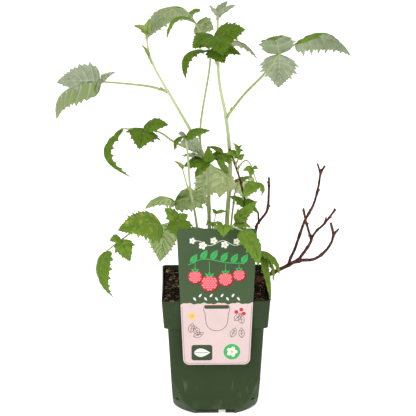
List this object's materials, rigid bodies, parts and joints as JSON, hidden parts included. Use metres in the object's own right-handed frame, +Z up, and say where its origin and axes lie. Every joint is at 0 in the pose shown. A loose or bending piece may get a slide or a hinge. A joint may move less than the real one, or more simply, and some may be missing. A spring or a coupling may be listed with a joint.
{
  "type": "potted raspberry plant",
  "caption": "Square tapering nursery pot full of peat, with a young raspberry plant, its old pruned wood and a plain picture card on the rim.",
  "frame": {"origin": "on the ground under the middle of the pot, in the face of the round pad under its floor", "axes": "+Z is up along the plant, -Y is the side with the card, +X is to the viewer's right"},
  "size_m": [0.3614, 0.2081, 0.4973],
  "materials": {
    "pot_green": "matt, dark green",
    "peat": "rough, dark brown peat",
    "card_green": "satin printed card",
    "cane_green": "fresh pale green cane",
    "old_wood": "dark red-brown bark",
    "leaf_green": "satin green leaf",
    "leaf_pale": "matt pale leaf underside"
  },
  "bodies": {
    "root": {"pot": "pot_green", "soil": "peat", "label_card": "card_green", "cane_left": "cane_green", "cane_right": "cane_green", "shoot_left": "cane_green", "shoot_right": "cane_green", "shoot_low": "cane_green", "old_cane_thin": "old_wood", "old_cane_short": "old_wood", "old_limb_low": "old_wood", "old_branch_tall": "old_wood", "old_branch_middle": "old_wood", "old_branch_side": "old_wood", "leaf_dark": "leaf_green", "leaf_middle_left": "leaf_green", "leaf_shoot_top": "leaf_green", "leaf_bridge": "leaf_green", "leaf_low_left": "leaf_green", "sprig_left": "leaf_green", "sprig_top": "leaf_green", "sprig_right": "leaf_green", "sprig_low": "leaf_green", "leaf_front": "leaf_green", "leaf_front_right": "leaf_green", "leaf_corner": "leaf_green", "leaf_tuft": "leaf_green", "tip_left": "leaf_green", "leaf_left": "leaf_pale", "leaf_right": "leaf_pale", "leaf_top": "leaf_pale", "leaf_back_left": "leaf_pale", "leaf_back_right": "leaf_pale", "leaf_inner": "leaf_pale", "leaf_low_back": "leaf_pale", "leaf_rear_right": "leaf_pale", "leaf_rear_left": "leaf_pale", "tip_right": "leaf_pale", "bud_left": "leaf_pale", "bud_shoot": "leaf_pale"}
  },
  "joints": []
}
